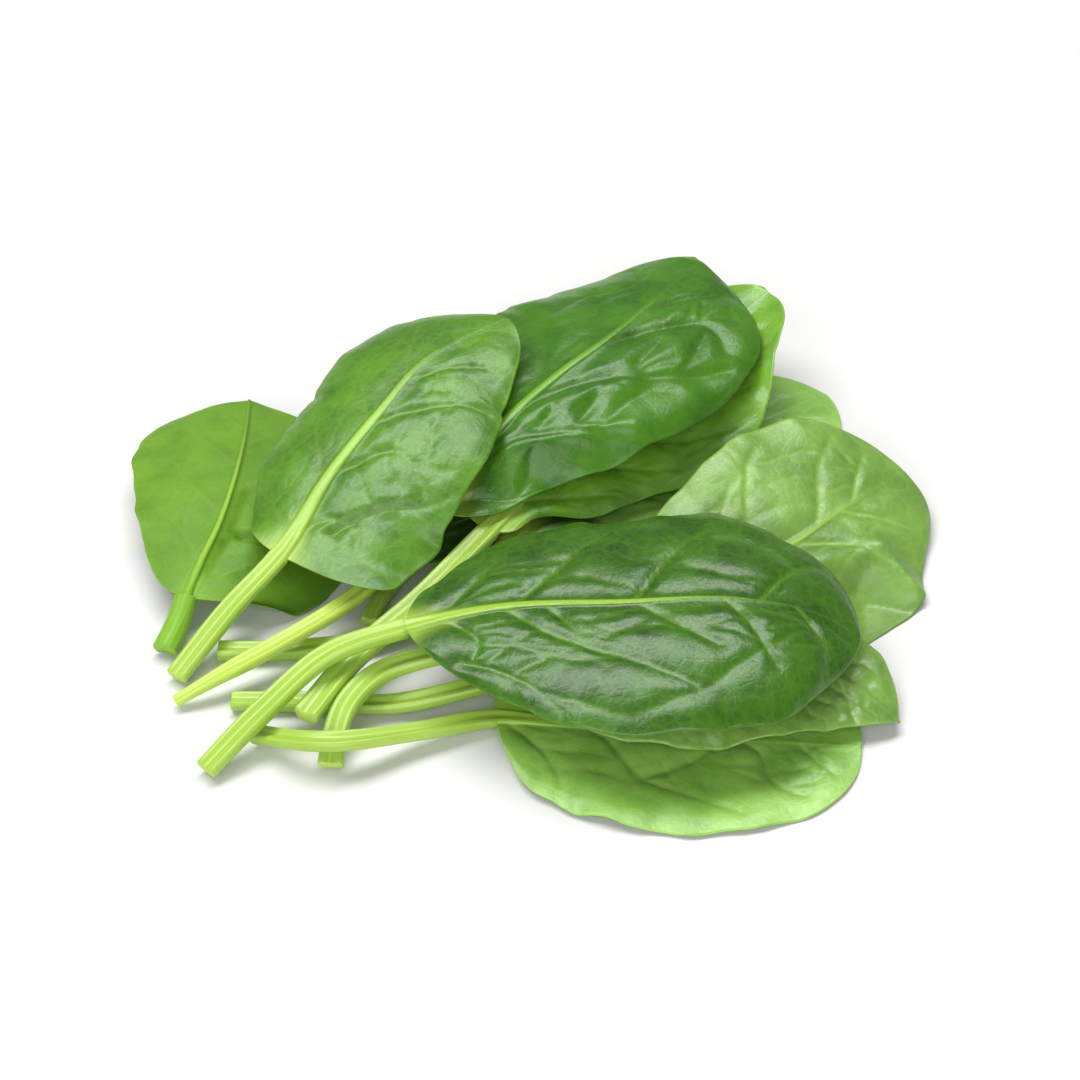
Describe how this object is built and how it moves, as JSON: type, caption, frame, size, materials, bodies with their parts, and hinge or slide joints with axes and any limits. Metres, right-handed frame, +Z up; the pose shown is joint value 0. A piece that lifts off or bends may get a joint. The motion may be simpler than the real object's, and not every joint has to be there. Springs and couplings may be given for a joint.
{
  "type": "spinach bunch",
  "caption": "Loose bunch of fresh spinach: rounded, puckered green leaves with pale stalks, lying fanned out over one another on a flat surface.",
  "frame": {"origin": "middle of the bunch's footprint, on the surface that it lies on", "axes": "+Z up; the stalks' cut ends are at -X, the leaf tips fan out towards +X, from -Y round to +Y"},
  "size_m": [0.1978, 0.1937, 0.0363],
  "materials": {
    "leaf_dark_green": "satin",
    "leaf_mid_green": "satin",
    "leaf_light_green": "satin"
  },
  "bodies": {
    "root": {"leaf_lowest": "leaf_mid_green", "leaf_right": "leaf_mid_green", "leaf_back_right": "leaf_mid_green", "leaf_under_front": "leaf_mid_green", "leaf_front": "leaf_dark_green", "leaf_under_top": "leaf_mid_green", "leaf_top": "leaf_mid_green", "leaf_left": "leaf_light_green", "leaf_centre_left": "leaf_mid_green", "leaf_back": "leaf_dark_green", "leaf_small": "leaf_dark_green"}
  },
  "joints": []
}
